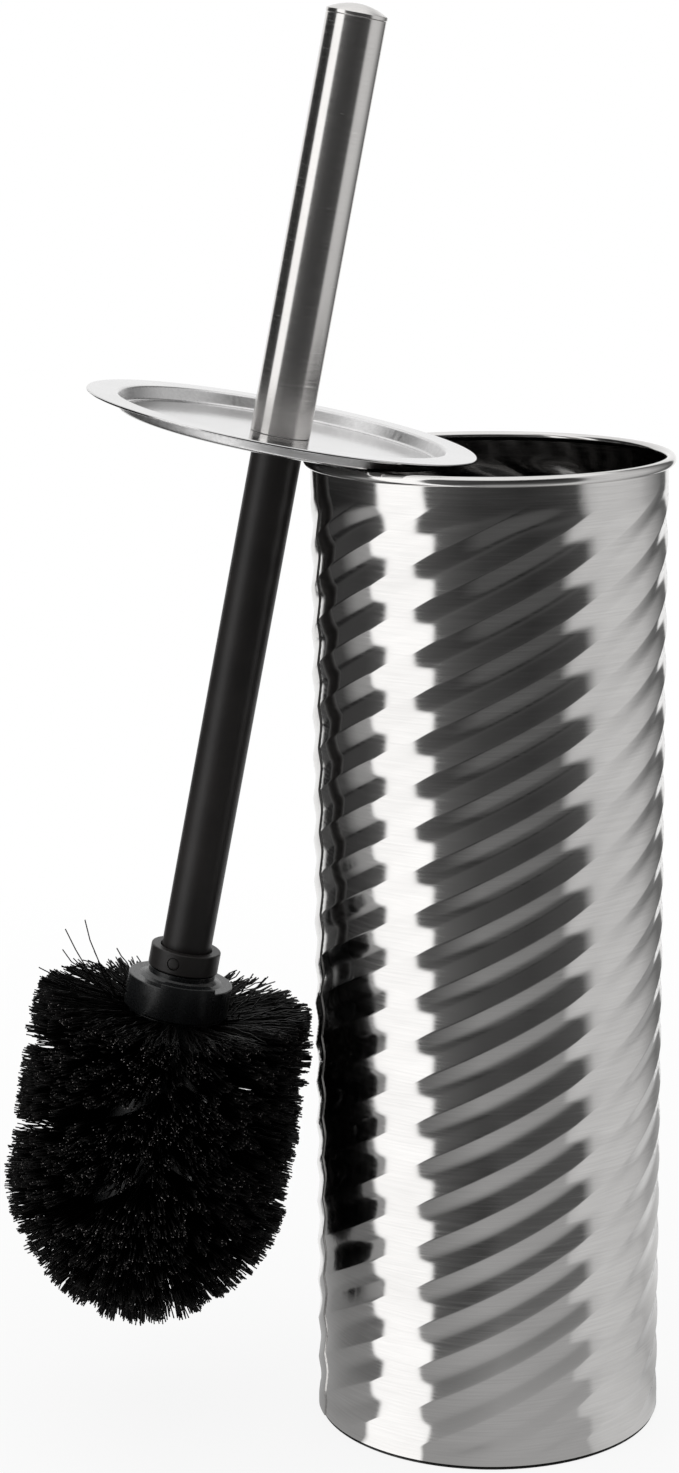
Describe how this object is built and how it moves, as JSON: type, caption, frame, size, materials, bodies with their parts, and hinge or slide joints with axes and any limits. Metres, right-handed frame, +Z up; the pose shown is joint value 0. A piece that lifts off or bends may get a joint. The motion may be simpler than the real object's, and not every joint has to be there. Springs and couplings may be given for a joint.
{
  "type": "toilet brush holder",
  "caption": "Tall round holder in fluted brushed steel with a rolled rim, and its black brush with a steel lid and tube handle hung on the rim.",
  "frame": {"origin": "on the holder's axis, on the underside of the foot pad, where the holder stands on the floor", "axes": "+Z up along the holder's axis; the brush hangs on the -X side of the rim with its handle leaning towards +X; the front, which the picture faces, is -Y"},
  "size_m": [0.1869, 0.106, 0.3891],
  "materials": {
    "fluted_steel": "polished stainless sheet with fine round-the-wall brushing, pressed into slanting flutes",
    "lid_steel": "stamped stainless sheet, fine straight brushing",
    "handle_steel": "satin stainless tube",
    "zinc_steel": "bright zinc plate",
    "moulded_black": "moulded black polypropylene",
    "rod_black": "matt black plastic with a fine pebble",
    "socket_black": "satin black moulded plastic",
    "insert_plastic": "moulded grey plastic",
    "bristle": "black crimped plastic filament",
    "rubber": "black foam rubber"
  },
  "bodies": {
    "holder": {"holder_wall": "fluted_steel", "base_cup": "moulded_black", "foot_pad": "rubber"},
    "brush": {"rod": "rod_black", "rod_plug": "insert_plastic", "tie_stud": "zinc_steel", "rod_ferrule": "rod_black", "ferrule_pin": "rod_black"},
    "lid": {"lid_pan": "lid_steel", "lid_washer": "rubber"},
    "handle": {"handle_tube": "handle_steel", "end_cap": "handle_steel", "handle_insert": "insert_plastic", "insert_nut": "zinc_steel"},
    "head": {"head_socket": "socket_black", "head_core": "socket_black", "bristle_ring_01": "bristle", "bristle_ring_02": "bristle", "bristle_ring_03": "bristle", "bristle_ring_04": "bristle", "bristle_ring_05": "bristle", "bristle_ring_06": "bristle", "bristle_ring_07": "bristle", "bristle_ring_08": "bristle", "bristle_ring_09": "bristle", "bristle_ring_10": "bristle", "bristle_ring_11": "bristle", "bristle_ring_12": "bristle"}
  },
  "joints": [
    {"name": "brush_lift", "type": "slide", "parent": "holder", "child": "brush", "axis": [-0.0349, 0, 0.9994], "range_m": [0, 0.32]},
    {"name": "handle_unscrew", "type": "hinge", "parent": "brush", "child": "lid", "pos_m": [-0.05544, 0, 0.27953], "axis": [0.1905, 0, 0.9817], "range_deg": [0, 3600]},
    {"name": "handle_rise", "type": "slide", "parent": "lid", "child": "handle", "axis": [0.1905, 0, 0.9817], "range_m": [0, 0.01]},
    {"name": "head_unscrew", "type": "hinge", "parent": "brush", "child": "head", "pos_m": [-0.05544, 0, 0.27953], "axis": [0.1905, 0, 0.9817], "range_deg": [0, 1080]}
  ],
  "couplings": [
    {"joint": "handle_rise", "follows": "handle_unscrew", "m_per_rad": 0.00015915}
  ]
}
